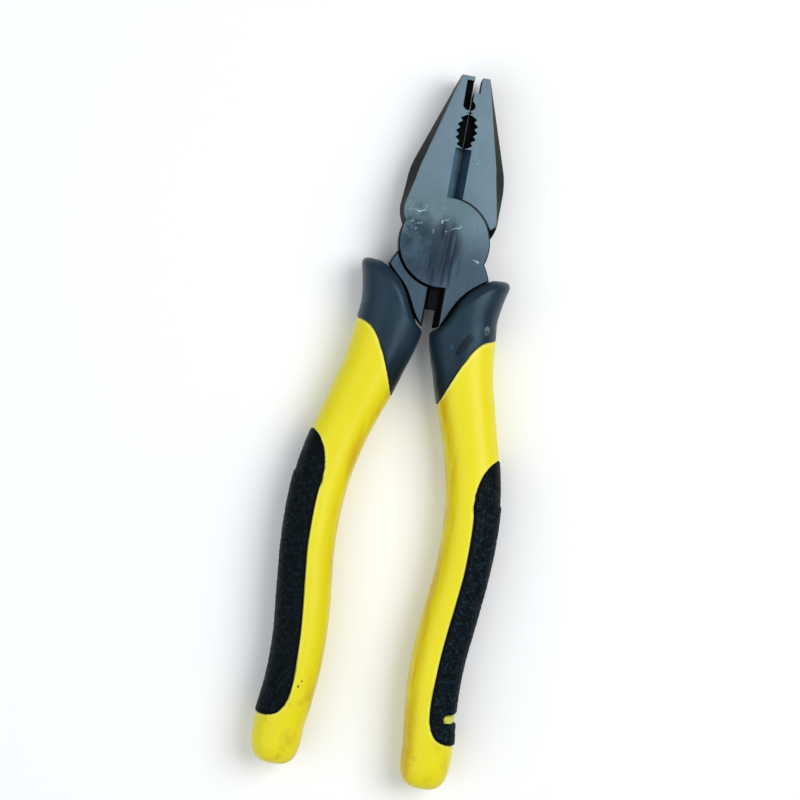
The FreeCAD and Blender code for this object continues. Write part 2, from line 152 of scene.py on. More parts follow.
# Head
PARTING_X = 0.65            # the jaws meet this far to +X of the pivot
BEVEL_ZONE = (PARTING_X, 20.5), (3.3, 8.8)      # middle and reach of the side cutters, from the pivot
HOLLOW_ZONE = (PARTING_X, 39.0), (3.9, 10.2)    # the same of the pipe grip and the tip pockets, which are painted near-black as painted shade


# ---------------------------------------------------------------- form and seams

def smooth(knots, values, at):
    """A smooth curve through (knots, values), knots rising, read at any points."""
    knots, values = np.asarray(knots, float), np.asarray(values, float)
    slopes = np.gradient(values, knots)
    at = np.clip(at, knots[0], knots[-1])
    i = np.clip(np.searchsorted(knots, at) - 1, 0, len(knots) - 2)
    width = knots[i + 1] - knots[i]
    t = (at - knots[i]) / width
    return ((2 * t ** 3 - 3 * t ** 2 + 1) * values[i] + (t ** 3 - 2 * t ** 2 + t) * width * slopes[i]
            + (-2 * t ** 3 + 3 * t ** 2) * values[i + 1] + (t ** 3 - t ** 2) * width * slopes[i + 1])


def form(y):
    """(middle x, half width, half thickness) of the grip at y, before its rounded end."""
    outer, inner, half = (smooth(FORM[:, 0], FORM[:, k], y) for k in (1, 2, 3))
    return (outer + inner) / 2, (outer - inner) / 2, half


def signed_power(value, power):
    """A power of the value's size, with the value's sign."""
    return np.sign(value) * np.abs(value) ** power


def section(phi):
    """Unit superellipse at angle phi, 0 on the outer side and a quarter turn on top."""
    return signed_power(np.cos(phi), 2 / SECTION_POWER), signed_power(np.sin(phi), 2 / SECTION_POWER)


def skin(y, phi, shrink_end=1.0):
    """Points on the grip form and their outward directions across the section."""
    middle, half_w, half_t = form(y)
    half_w, half_t = half_w * shrink_end, half_t * shrink_end
    cx, cz = section(phi)
    points = np.stack([middle + half_w * cx, y + 0 * cx, half_t * cz], axis=-1)
    nx = signed_power(cx, SECTION_POWER - 1) / np.maximum(half_w, 1e-6)
    nz = signed_power(cz, SECTION_POWER - 1) / np.maximum(half_t, 1e-6)
    size = np.hypot(nx, nz) + 1e-12
    return points, np.stack([nx / size, 0 * nx, nz / size], axis=-1)


def seam_line(points, steps=16):
    """A smooth line through seam points."""
    pts = np.array(points, float)
    along = np.concatenate([[0.0], np.cumsum(np.hypot(*np.diff(pts, axis=0).T))])
    at = np.linspace(0, along[-1], steps * len(pts))
    return np.stack([smooth(along, pts[:, 0], at), smooth(along, pts[:, 1], at)], axis=-1)


def seam_distance(xy, line):
    """Distance in plan from each point to a line, and the direction to it."""
    a, b = line[:-1], line[1:]
    ab = b - a
    length2 = (ab ** 2).sum(1)
    best = np.full(len(xy), 1e9)
    away = np.zeros((len(xy), 2))
    for k in range(len(a)):
        t = np.clip(((xy - a[k]) @ ab[k]) / length2[k], 0, 1)
        gap = xy - (a[k] + t[:, None] * ab[k])
        d = np.hypot(gap[:, 0], gap[:, 1])
        nearer = d < best
        best[nearer] = d[nearer]
        away[nearer] = gap[nearer]
    return best, away / (best[:, None] + 1e-9)


def inside(xy, polygon):
    """Even-odd test of points against a closed polygon."""
    result = np.zeros(len(xy), bool)
    x, y = xy[:, 0], xy[:, 1]
    for (x0, y0), (x1, y1) in zip(polygon, np.roll(polygon, -1, axis=0)):
        crosses = (y0 > y) != (y1 > y)
        if y0 != y1:
            result ^= crosses & (x < (x1 - x0) * (y - y0) / (y1 - y0) + x0)
    return result


class Seam:
    """A seam seen from above, and the area on its far side closed by a few distant corners."""

    def __init__(self, points, corners):
        self.line = seam_line(points)
        self.area = np.vstack([self.line, np.array(corners, float).reshape(-1, 2)])

    def depth(self, points, normals):
        """How far inside the area each surface point lies, measured along the surface."""
        flat = points.reshape(-1, 3)
        d, away = seam_distance(flat[:, :2], self.line)
        tilt = (normals.reshape(-1, 3)[:, :2] * away).sum(1)
        along = d / np.sqrt(np.maximum(1 - tilt ** 2, 0.04))
        sign = np.where(inside(flat[:, :2], self.area), 1.0, -1.0)
        return (along * sign).reshape(points.shape[:-1])

    def crossing(self, phi):
        """y where the grip form at each angle crosses this seam."""
        order = np.argsort(self.line[:, 0])
        low, high = (np.full(phi.shape, y) for y in COLLAR_SEAMS_Y)
        cx, _ = section(phi)
        for _ in range(HALVINGS):
            y = (low + high) / 2
            middle, half_w, _ = form(y)
            ahead = y > np.interp(middle + half_w * cx, self.line[order, 0], self.line[order, 1])
            high = np.where(ahead, y, high)
            low = np.where(ahead, low, y)
        return (low + high) / 2


def collar_seam(points):
    """A seam right across the grip, with everything behind it as its area."""
    first_y, last_y = points[0][1], points[-1][1]
    return Seam(points, [(FAR_IN, last_y), (FAR_IN, FAR_BACK), (FAR_OUT, FAR_BACK), (FAR_OUT, first_y)])


def window_seam():
    """The edge of the right pad's window, open to the outer side."""
    root_x, root_y = WINDOW_ROOT
    turns = np.linspace(0.5 * math.pi, 1.5 * math.pi, NOSE_POINTS)
    nose = [(root_x + WINDOW_HALF * math.cos(a), root_y + WINDOW_HALF * math.sin(a)) for a in turns]
    far_x = root_x + WINDOW_LENGTH
    far_y = root_y + WINDOW_LENGTH * WINDOW_RISE
    return Seam([(far_x, far_y + WINDOW_HALF)] + nose + [(far_x, far_y - WINDOW_HALF)], [])


front_seam = collar_seam(COLLAR_FRONT)
rear_seam = collar_seam(COLLAR_REAR)
pad_seam = Seam(PAD_SEAM, [(FAR_OUT, PAD_SEAM[-1][1]), (FAR_OUT, PAD_SEAM[0][1])])
pad_window = window_seam()


def ramp(value, low, high):
    """0 up to low and 1 from high on, with a smooth rise between them."""
    t = np.clip((value - low) / (high - low), 0, 1)
    return t * t * (3 - 2 * t)


def rolled_edge(depth, roll, dip):
    """Height of a surface that rises from -dip at its edge over a round of width roll."""
    t = np.clip(depth / roll, 0, 1)
    return -dip * (1 - np.sqrt(np.maximum(1 - (1 - t) ** 2, 0)))


# ---------------------------------------------------------------- meshes

def to_row(points, left):
    """Points on the +X grip in millimetres as metres in the part's frame, mirrored for the left grip."""
    out = points.reshape(-1, 3) * MM
    if left:
        out = out * np.array([-1.0, 1.0, 1.0])
    return out + np.array(GRIPS)


def make_object(name, points, faces, left, sharp_deg=50.0, **attributes):
    """A smooth-shaded mesh object from points on the +X grip; attributes are one number per point."""
    mesh = bpy.data.meshes.new(name)
    if left:
        faces = [tuple(reversed(f)) for f in faces]
    mesh.from_pydata(to_row(points, left).tolist(), [], faces)
    for key, values in attributes.items():
        layer = mesh.attributes.new(key, "FLOAT", "POINT")
        layer.data.foreach_set("value", np.asarray(values, np.float32).ravel())
    bm = bmesh.new()
    bm.from_mesh(mesh)
    bmesh.ops.remove_doubles(bm, verts=bm.verts, dist=2e-6)
    bmesh.ops.dissolve_degenerate(bm, edges=bm.edges, dist=1e-7)
    bmesh.ops.recalc_face_normals(bm, faces=bm.faces)
    for face in bm.faces:
        face.smooth = True
    for edge in bm.edges:
        if len(edge.link_faces) == 2 and edge.calc_face_angle(0.0) > math.radians(sharp_deg):
            edge.smooth = False
    bm.to_mesh(mesh)
    bm.free()
    obj = bpy.data.objects.new(name, mesh)
    bpy.context.scene.collection.objects.link(obj)
    return obj


def tube_faces(rows, columns):
    """Quads of a grid whose rows are closed rings."""
    faces = []
    for start in range(0, (rows - 1) * columns, columns):
        for c in range(columns):
            beside = (c + 1) % columns
            faces.append((start + c, start + beside, start + columns + beside, start + columns + c))
    return faces


def ladder_cap(first, columns):
    """Closes a ring whose lower half mirrors its upper half, with upright faces."""
    half = columns // 2
    return [(first + c, first + c + 1, first + (columns - c - 1) % columns, first + (columns - c) % columns)
            for c in range(half)]


def sheet_faces(rows, columns, first=0):
    """Quads of an open grid whose points start at number first."""
    faces = []
    for start in range(first, first + (rows - 1) * columns, columns):
        for k in range(start, start + columns - 1):
            faces.append((k, k + 1, k + columns + 1, k + columns))
    return faces


def round_angles():
    """The angles of the points round a section."""
    return np.arange(ROUND_STEPS) * 2 * math.pi / ROUND_STEPS


def shell_mesh(name, left, windowed):
    """The yellow shell, sunk where it runs on under the collar and the pad, with a rounded end."""
    phi = round_angles()
    start = rear_seam.crossing(phi) + COLLAR_LIP
    share = np.linspace(0, 1, SHELL_FRONT_ROWS)[:-1, None]
    ahead_y = start[None, :] + (SHELL_LEVEL_Y - start)[None, :] * share
    straight = np.arange(SHELL_LEVEL_Y, END_Y, -SHELL_PITCH)
    turn = np.linspace(0, math.pi / 2, SHELL_END_ROWS)
    y = np.concatenate([straight, END_Y - END_LENGTH * np.sin(turn) ** (2 / END_POWER)])
    end_shrink = np.maximum(np.cos(turn), 0) ** (2 / END_POWER)
    shrink = np.concatenate([np.ones(len(share) + len(straight)), end_shrink])
    grid_y = np.concatenate([ahead_y, np.repeat(y[:, None], ROUND_STEPS, axis=1)])
    grid_phi = np.broadcast_to(phi, grid_y.shape)
    points, normals = skin(grid_y, grid_phi, shrink[:, None])
    behind = rear_seam.depth(points, normals)
    under_pad = pad_seam.depth(points, normals)
    lift = -SHELL_UNDER * (1 - ramp(behind, *SHELL_RISE))
    pressed = ramp(under_pad, *SHELL_SINK)
    if windowed:
        pressed = pressed * (1 - ramp(pad_window.depth(points, normals), *WINDOW_RISE_EDGE))
    lift = lift - SHELL_UNDER * pressed
    points = points + normals * lift[..., None]
    faces = tube_faces(len(grid_y), ROUND_STEPS) + ladder_cap(0, ROUND_STEPS)
    inner = ramp(-section(grid_phi)[0], *INNER_SIDE)
    seam_gap = np.minimum(np.abs(behind - 0.15), np.abs(under_pad - 0.1))
    in_window = ramp(pad_window.depth(points, normals), *WINDOW_TINT) * ramp(under_pad, 0.0, 1.0)
    return make_object(name, points, faces, left, inner_side=inner, by_seam=1 - ramp(seam_gap, *SEAM_LINE),
                       window=in_window)


def collar_mesh(name, left):
    """The guard collar, proud of the shell, with a big round at its front and a small one at its rear."""
    phi = round_angles()
    rim = 1 - np.cos(np.linspace(0, math.pi / 2, COLLAR_RIM_ROWS))
    middle = np.linspace(COLLAR_RIM_SHARE, COLLAR_REAR_SHARE, COLLAR_MIDDLE_ROWS)
    share = np.concatenate([rim[:-1] * COLLAR_RIM_SHARE, middle,
                            np.linspace(COLLAR_REAR_SHARE, 1.0, COLLAR_REAR_ROWS)[1:]])
    front, rear = front_seam.crossing(phi), rear_seam.crossing(phi)
    grid_y = front[None, :] + (rear - front)[None, :] * share[:, None]
    grid_phi = np.broadcast_to(phi, grid_y.shape)
    points, normals = skin(grid_y, grid_phi)
    ahead = np.maximum(-rear_seam.depth(points, normals), 0)
    behind = np.maximum(front_seam.depth(points, normals), 0)
    top = np.abs(np.sin(grid_phi))
    lift = COLLAR_PROUD + rolled_edge(ahead, EDGE_ROLL, EDGE_DIP + COLLAR_PROUD)
    lift = lift + rolled_edge(behind, RIM_ROLL + RIM_ROLL_TOP * top, RIM_DROP + RIM_DROP_TOP * top)
    points = points + normals * lift[..., None]
    last = (len(share) - 1) * ROUND_STEPS
    faces = tube_faces(len(share), ROUND_STEPS) + ladder_cap(0, ROUND_STEPS) + ladder_cap(last, ROUND_STEPS)
    # Painted shade: the collar is painted darker towards its rear end and its rear seam.
    rearward = ramp(-grid_y, *COLLAR_DARKENS) * ramp(-ahead, *COLLAR_DARK_END)
    return make_object(name, points, faces, left, rearward=rearward)


def grain(points):
    """Leather-like wrinkles: 0 in the creases, 1 on the pebbles."""
    values = np.empty(len(points))
    for k, (x, y, z) in enumerate(points):
        wander = WANDER * noise.noise(Vector((x, y, z)) * WANDER_SCALE)
        bent = Vector((x * GRAIN_ACROSS + wander, y * GRAIN_ALONG - wander, z * GRAIN_ACROSS))
        near, second = noise.voronoi(bent)[0][:2]
        values[k] = min((second - near) * PEBBLE_SLOPE, 1.0)
    return values


def pad_grid():
    """(y, angle) of a pad's points, its rows reaching from seam to seam across the outer side."""
    middle, reach = (PAD_FRONT + PAD_END) / 2, (PAD_FRONT - PAD_END) / 2
    crowded = np.cos(np.linspace(0, math.pi, PAD_ROWS))
    even = np.linspace(1, -1, PAD_ROWS)
    y = middle + reach * (PAD_CROWDING * crowded + (1 - PAD_CROWDING) * even)
    line = pad_seam.line[np.argsort(pad_seam.line[:, 1])]
    line = line[(line[:, 1] <= PAD_FRONT) & (line[:, 1] >= PAD_END)]
    border_x = np.interp(y, line[:, 1], line[:, 0])
    form_middle, half_w, _ = form(y)
    reach_x = np.clip((border_x - form_middle) / half_w, -PAD_REACH, 1.0)
    border_phi = np.arccos(np.clip(signed_power(reach_x, SECTION_POWER / 2), -1, 1))
    border_phi[0] = border_phi[-1] = 0.0
    grid_phi = border_phi[:, None] * np.linspace(-1, 1, PAD_COLUMNS)[None, :]
    return np.broadcast_to(y[:, None], grid_phi.shape), grid_phi


def pad_mesh(name, left, windowed):
    """The soft pad: a rolled edge, a step on the outer side and a grain that fades out at its edges."""
    grid_y, grid_phi = pad_grid()
    points, normals = skin(grid_y, grid_phi)
    depth = np.maximum(pad_seam.depth(points, normals), 0)
    outer_side = ramp(section(grid_phi)[0], *OUTER_SIDE)
    stepped = ramp(-grid_y, -PAD_STEP_Y - 0.3, -PAD_STEP_Y + 0.5)
    proud = PAD_PROUD + PAD_STEP * stepped * outer_side
    lift = proud + rolled_edge(depth, EDGE_ROLL, EDGE_DIP + PAD_PROUD)
    grained = ramp(-grid_y, *GRAIN_STARTS) * ramp(depth, *GRAIN_EDGE)
    pebbles = grain(points.reshape(-1, 3)).reshape(depth.shape)
    lift = lift + GRAIN_DEPTH * grained * (pebbles - PEBBLE_MEAN)
    if windowed:
        lift = lift - WINDOW_DEPTH * ramp(pad_window.depth(points, normals), *WINDOW_SINK)
    outer = points + normals * lift[..., None]
    under = points - normals * PAD_THICKNESS
    count = PAD_ROWS * PAD_COLUMNS
    faces = sheet_faces(PAD_ROWS, PAD_COLUMNS)
    faces += [tuple(reversed(f)) for f in sheet_faces(PAD_ROWS, PAD_COLUMNS, count)]
    for r in range(PAD_ROWS - 1):
        for c in (0, PAD_COLUMNS - 1):
            edge = (r * PAD_COLUMNS + c, (r + 1) * PAD_COLUMNS + c)
            faces.append((edge[0], edge[1], count + edge[1], count + edge[0]))
    both = np.concatenate([outer.reshape(-1, 3), under.reshape(-1, 3)])
    flat = np.zeros(count)
    return make_object(name, both, faces, left, 60.0, grained=np.concatenate([grained.ravel(), flat]),
                       pebble=np.concatenate([(grained * pebbles).ravel(), flat]))


# ---------------------------------------------------------------- materials

def linear(value):
    return ((value / 255 + 0.055) / 1.055) ** 2.4 if value > 10 else value / 255 / 12.92


def srgb(r, g, b):
    """Linear colour from 0 to 255 display values."""
    return (linear(r), linear(g), linear(b), 1.0)


class Nodes:
    """A small helper for building one node material."""

    def __init__(self, name):
        self.material = bpy.data.materials.new(name)
        self.material.use_nodes = True
        self.tree = self.material.node_tree
        self.shader = next(n for n in self.tree.nodes if n.type == "BSDF_PRINCIPLED")
        self.place = self.add("ShaderNodeTexCoord").outputs["Object"]

    def add(self, kind, **settings):
        node = self.tree.nodes.new(kind)
        for key, value in settings.items():
            setattr(node, key, value)
        return node

    def feed(self, socket, value):
        if isinstance(value, bpy.types.NodeSocket):
            self.tree.links.new(value, socket)
        else:
            socket.default_value = value

    def math(self, operation, *values):
        node = self.add("ShaderNodeMath", operation=operation)
        for socket, value in zip(node.inputs, values):
            self.feed(socket, value)
        return node.outputs[0]

    def times(self, a, b):
        return self.math("MULTIPLY", a, b)

    def ramp(self, value, low, high, to_low=0.0, to_high=1.0):
        """to_low up to low and to_high from high on, with a smooth change between them."""
        node = self.add("ShaderNodeMapRange", interpolation_type="SMOOTHSTEP")
        fed = {"Value": value, "From Min": low, "From Max": high, "To Min": to_low, "To Max": to_high}
        for key, fed_value in fed.items():
            self.feed(node.inputs[key], fed_value)
        return node.outputs[0]

    def mix(self, share, a, b):
        """Colour a, going over to colour b as share rises."""
        node = self.add("ShaderNodeMix", data_type="RGBA")
        colours = [socket for socket in node.inputs if socket.type == "RGBA"]
        self.feed(node.inputs[0], share)
        self.feed(colours[0], a)
        self.feed(colours[1], b)
        return next(socket for socket in node.outputs if socket.type == "RGBA")

    def patch(self, under, tone, share, place, grain):
        """Colour under, with a share of tone laid over it where place and grain are both 1."""
        return self.mix(self.times(self.times(place, grain), share), under, tone)

    def stretched(self, scale, turn=(0, 0, 0)):
        """Places scaled along each axis, and turned by degrees, for a texture that runs one way."""
        node = self.add("ShaderNodeMapping")
        self.feed(node.inputs["Vector"], self.place)
        node.inputs["Rotation"].default_value = [math.radians(a) for a in turn]
        node.inputs["Scale"].default_value = scale
        return node.outputs[0]

    def noise(self, scale, detail=4.0, roughness=0.55, vector=None):
        node = self.add("ShaderNodeTexNoise")
        self.feed(node.inputs["Vector"], vector or self.place)
        node.inputs["Scale"].default_value = scale
        node.inputs["Detail"].default_value = detail
        node.inputs["Roughness"].default_value = roughness
        return node.outputs[0]

    def cells(self, scale, feature="F1"):
        node = self.add("ShaderNodeTexVoronoi", feature=feature)
        self.feed(node.inputs["Vector"], self.place)
        node.inputs["Scale"].default_value = scale
        return node.outputs["Distance"]

    def bump(self, height, distance, strength=1.0, normal=None):
        node = self.add("ShaderNodeBump")
        node.inputs["Strength"].default_value = strength
        node.inputs["Distance"].default_value = distance
        self.feed(node.inputs["Height"], height)
        if normal:
            self.feed(node.inputs["Normal"], normal)
        return node.outputs[0]

    def axes(self, vector):
        node = self.add("ShaderNodeSeparateXYZ")
        self.feed(node.inputs[0], vector)
        return node.outputs

    def spot(self, centre, reach, soft=0.5, lean=0.0):
        """1 inside an ellipse, in millimetres from the pivot, fading out at its edge; lean tips it to +X."""
        x, y, _ = self.axes(self.place)
        up = self.math("SUBTRACT", y, PIVOT.y + centre[1] * MM)
        level = self.math("SUBTRACT", x, PIVOT.x + centre[0] * MM)
        across = self.math("SUBTRACT", level, self.times(up, lean))
        terms = [self.math("POWER", self.math("DIVIDE", offset, half * MM), 2.0)
                 for offset, half in zip((across, up), reach)]
        return self.ramp(self.math("ADD", *terms), 1 - soft, 1 + soft, 1.0, 0.0)

    def box_spot(self, centre, reach):
        """1 inside a rectangle on the head, in millimetres from the pivot, with a crisp edge."""
        x, y, _ = self.axes(self.place)
        within = []
        for value, origin, middle, half in zip((x, y), (PIVOT.x, PIVOT.y), centre, reach):
            offset = self.math("ABSOLUTE", self.math("SUBTRACT", value, origin + middle * MM))
            within.append(self.math("LESS_THAN", offset, half * MM))
        return self.times(*within)

    def upper(self):
        """1 on the upper half of the tool, 0 on the lower half."""
        return self.ramp(self.axes(self.place)[2], PIVOT.z, PIVOT.z + 2 * MM)

    def attribute(self, name):
        return self.add("ShaderNodeAttribute", attribute_name=name).outputs["Fac"]

    def finish(self, **sockets):
        for key, value in sockets.items():
            self.feed(self.shader.inputs[key.replace("_", " ")], value)
        return self.material


def ground_face(n, fine):
    """Colour of the ground faces: pale jaws, an olive bloom over the joint, a darker lower joint."""
    y = n.axes(n.place)[1]
    jaw_tone = n.mix(n.noise(95.0, 5.0, 0.6), srgb(88, 108, 121), srgb(104, 124, 136))
    boss_tone = n.mix(n.noise(75.0, 6.0, 0.7), srgb(42, 60, 76), srgb(70, 90, 104))
    wavy = n.math("ADD", y, n.times(n.noise(140.0, 4.0), 6 * MM))
    face = n.mix(n.ramp(wavy, PIVOT.y - 3 * MM, PIVOT.y + 13 * MM), boss_tone, jaw_tone)
    bloom = n.ramp(n.noise(70.0, 3.0), 0.3, 0.6)
    face = n.patch(face, srgb(78, 104, 104), 0.6, n.spot((-2.0, 9.0), (11.0, 9.0), 0.8), bloom)
    return n.mix(n.times(n.ramp(fine, 0.35, 0.7), 0.05), face, srgb(130, 146, 156))


def worn(n, face):
    """The face with dark smears along the tool, mottling at the left and short pale scratches."""
    shade = n.ramp(n.noise(120.0, 5.0, 0.65), 0.25, 0.6)
    face = n.patch(face, srgb(26, 44, 58), 0.8, n.spot((-7.5, -2.5), (6.0, 8.5), 0.8), shade)
    cloud = n.ramp(n.noise(160.0, 5.0, 0.65), 0.2, 0.5)
    face = n.patch(face, srgb(22, 40, 54), 0.75, n.spot((-0.3, -2.5), (3.6, 9.5), 0.8), cloud)
    smear = n.ramp(n.noise(1.0, 4.0, 0.6, n.stretched((620.0, 60.0, 60.0))), 0.45, 0.60)
    face = n.patch(face, srgb(16, 28, 40), 0.8, n.spot((0.2, -4.0), (5.0, 10.5), 0.7), smear)
    mottle = n.ramp(n.noise(320.0, 6.0, 0.75), 0.44, 0.62)
    face = n.patch(face, srgb(26, 48, 62), 0.7, n.spot((-10.2, 3.5), (5.0, 7.0), 0.8), mottle)
    fleck = n.ramp(n.noise(950.0, 3.0, 0.6), 0.61, 0.67)
    face = n.patch(face, srgb(160, 182, 188), 0.8, n.spot((-11.3, 5.5), (3.2, 4.5), 0.8), fleck)

    line = n.math("ABSOLUTE", n.math("SUBTRACT", n.noise(190.0, 1.0, 0.4), 0.5))
    broken = n.ramp(n.noise(420.0, 2.0), 0.48, 0.56)
    scratch = n.times(n.ramp(line, 0.005, 0.014, 1.0, 0.0), broken)
    zone = n.math("MAXIMUM", n.spot((-3.0, 6.5), (10.0, 4.0)), n.spot((10.8, -1.5), (2.2, 2.6)))
    zone = n.math("MAXIMUM", zone, n.spot((6.5, 25.5), (2.6, 2.2)))
    return n.mix(n.times(scratch, zone), face, srgb(160, 180, 186))


def unground(n, up):
    """Colour of everything that isn't ground: forged flanks, cutter bevels with painted light on the left and
    painted shade on the right, and the hollows painted near-black as painted shade.
    """
    x = n.axes(n.place)[0]
    forged = n.mix(n.noise(420.0, 5.0, 0.7), srgb(9, 12, 12), srgb(28, 32, 31))
    # Painted light and shade on the cutter bevels: the left bevel, which faces the key light, is painted pale
    # and the right bevel is painted darker.
    shaded_side = n.ramp(x, PIVOT.x + (PARTING_X - 0.1) * MM, PIVOT.x + (PARTING_X + 0.1) * MM)
    bevel = n.mix(shaded_side, srgb(122, 158, 180), srgb(66, 88, 104))
    bevel = n.mix(n.times(n.ramp(n.noise(300.0, 4.0, 0.6), 0.45, 0.7), 0.4), bevel, srgb(60, 86, 104))
    bevel_zone = n.times(n.box_spot(*BEVEL_ZONE), n.ramp(up, 0.34, 0.38))
    colour = n.mix(bevel_zone, forged, bevel)
    # Painted shade: the walls and floors of the pipe grip and the tip pockets are painted near-black.
    return n.mix(n.box_spot(*HOLLOW_ZONE), colour, srgb(9, 10, 12))


def steel(name):
    """Ground satin faces on dark forged flanks, with the wear of use round the joint."""
    n = Nodes(name)
    _, y, z = n.axes(n.place)
    up = n.math("ABSOLUTE", n.axes(n.add("ShaderNodeNewGeometry").outputs["Normal"])[2])
    height = n.math("ABSOLUTE", n.math("SUBTRACT", z, PIVOT.z))
    half = TOP_FACE - PIVOT.z
    near_face = n.ramp(height, half - 0.5 * MM, half - 0.12 * MM)
    ground = n.times(n.ramp(up, 0.90, 0.97), near_face)
    unground_share = n.math("SUBTRACT", 1.0, ground)
    # The jaws' edge chamfers are painted pale: partly the ground steel of the chamfer, partly a painted
    # highlight along the edge.
    chamfer_highlight = n.times(n.ramp(height, half - 0.45 * MM, half - 0.3 * MM), n.ramp(up, 0.6, 0.68))
    jaw_part = n.ramp(y, PIVOT.y + 4 * MM, PIVOT.y + 9 * MM)
    fine = n.noise(1.0, 3.0, 0.6, n.stretched((2600.0, 120.0, 300.0)))
    colour = n.mix(n.times(chamfer_highlight, jaw_part), unground(n, up), srgb(128, 146, 152))
    colour = n.mix(ground, colour, worn(n, ground_face(n, fine)))

    satin = n.ramp(n.noise(130.0, 4.0), 0.3, 0.7, 0.34, 0.50)
    rough = n.math("ADD", n.times(ground, satin), n.times(unground_share, 0.6))
    forging_scale = n.times(n.noise(900.0, 4.0, 0.7), unground_share)
    normal = n.bump(forging_scale, 0.00012, 0.6)
    normal = n.bump(fine, 0.000012, 0.5, normal)
    sheen = n.ramp(ground, 0.0, 1.0, 0.12, 0.4)
    return n.finish(Base_Color=colour, Metallic=0.75, Roughness=rough, Specular_IOR_Level=sheen,
                    Normal=normal)


def yellow_plastic(name):
    """Smooth moulded yellow with darker orange streaks on the inner side, partly handling grime and partly
    painted shade between the grips, and grime towards the ends.
    """
    n = Nodes(name)
    y = n.axes(n.place)[1]
    colour = n.mix(n.noise(40.0, 3.0), srgb(222, 208, 12), srgb(232, 219, 22))
    # Darker orange streaks on the side facing the other grip: partly handling grime, partly painted shade
    # between the grips.
    streak = n.ramp(n.noise(1.0, 4.0, 0.6, n.stretched((220.0, 28.0, 160.0))), 0.42, 0.68)
    colour = n.patch(colour, srgb(206, 148, 16), 0.7, n.attribute("inner_side"), streak)
    end = n.ramp(y, PIVOT.y - 150 * MM, PIVOT.y - 126 * MM, 1.0, 0.0)
    smudge = n.ramp(n.noise(170.0, 5.0, 0.65), 0.52, 0.7)
    colour = n.patch(colour, srgb(170, 140, 40), 0.35, end, smudge)
    specks = n.ramp(n.cells(420.0), 0.06, 0.12, 1.0, 0.0)
    colour = n.patch(colour, srgb(90, 80, 40), 0.5, specks, n.ramp(n.noise(60.0, 2.0), 0.6, 0.66))
    nick = n.math("MAXIMUM", n.spot((-19.6, -137.3), (0.3, 0.5)), n.spot((-18.8, -135.6), (0.2, 0.4)))
    colour = n.patch(colour, srgb(60, 52, 20), 0.85, nick, n.upper())
    # Painted highlight: a pale line on the shell's rolled lip along the collar and pad seams.
    colour = n.mix(n.times(n.attribute("by_seam"), 0.35), colour, srgb(240, 236, 130))
    colour = n.mix(n.times(n.attribute("window"), 0.8), colour, srgb(186, 196, 84))
    rough = n.ramp(n.noise(220.0, 4.0), 0.3, 0.7, 0.30, 0.42)
    normal = n.bump(n.noise(1400.0, 3.0), 0.00002, 0.35)
    normal = n.bump(n.noise(90.0, 2.0), 0.0003, 0.12, normal)
    return n.finish(Base_Color=colour, Roughness=rough, Specular_IOR_Level=0.3, Normal=normal,
                    Subsurface_Weight=0.04, Subsurface_Radius=(0.004, 0.003, 0.0008), Subsurface_Scale=0.4)


def collar_rubber(name):
    """Smooth blue-black rubber with painted shade towards its rear, scuffs, a dark worn patch and a pale
    chip.
    """
    n = Nodes(name)
    tone = n.mix(n.noise(70.0, 5.0, 0.6), srgb(20, 34, 44), srgb(34, 53, 66))
    # Painted shade, darkening the collar towards its rear.
    tone = n.mix(n.times(n.attribute("rearward"), 0.85), tone, srgb(9, 16, 21))
    strokes = n.ramp(n.noise(1.0, 5.0, 0.7, n.stretched((500.0, 160.0, 260.0), (0, 0, 24))), 0.60, 0.74)
    scuff = n.times(strokes, n.ramp(n.noise(90.0, 2.0), 0.52, 0.66))
    colour = n.mix(n.times(scuff, 0.5), tone, srgb(96, 120, 132))

    upper = n.upper()
    rubbed = n.ramp(n.noise(520.0, 5.0, 0.75), 0.36, 0.46)
    dark_patch = n.times(n.spot((11.1, -28.9), (1.3, 3.7), 0.4, lean=0.51), rubbed)
    dark_patch = n.times(dark_patch, upper)
    colour = n.mix(dark_patch, colour, srgb(2, 4, 6))
    chip = n.times(n.spot((17.0, -23.6), (0.8, 1.4), 0.5), n.ramp(n.noise(900.0, 4.0, 0.7), 0.40, 0.55))
    chip = n.times(chip, upper)
    colour = n.mix(n.times(chip, 0.7), colour, srgb(110, 130, 132))

    rough = n.ramp(n.noise(160.0, 4.0), 0.3, 0.7, 0.28, 0.42)
    normal = n.bump(n.noise(1100.0, 4.0), 0.00003, 0.5)
    normal = n.bump(scuff, 0.00008, 0.6, normal)
    normal = n.bump(n.math("MAXIMUM", dark_patch, chip), 0.0002, 0.5, normal)
    return n.finish(Base_Color=colour, Roughness=rough, Normal=normal, Specular_IOR_Level=0.3,
                    Specular_Tint=(0.55, 0.8, 1.0, 1.0))


def pad_rubber(name):
    """Black rubber with painted blue highlights on the pebble tops, stronger on +X as painted light from the
    key side, and a fine grain on top of the moulded one.
    """
    n = Nodes(name)
    tone = n.mix(n.noise(260.0, 4.0, 0.6), srgb(4, 7, 8), srgb(10, 16, 18))
    # Painted highlight on the pebble tops, stronger towards +X as painted light from the key side.
    painted_key_light = n.ramp(n.axes(n.place)[0], -22 * MM, 22 * MM, 0.55, 1.0)
    pebbles = n.ramp(n.attribute("pebble"), 0.10, 0.85)
    tone = n.patch(tone, srgb(22, 42, 54), painted_key_light, pebbles, n.ramp(n.noise(700.0, 5.0), 0.36, 0.62))
    fine = n.cells(1500.0, "SMOOTH_F1")
    normal = n.bump(n.times(fine, n.attribute("grained")), 0.00010, 0.6)
    rough = n.ramp(n.noise(500.0, 4.0), 0.3, 0.7, 0.36, 0.55)
    return n.finish(Base_Color=tone, Roughness=rough, Specular_IOR_Level=0.04, Normal=normal)


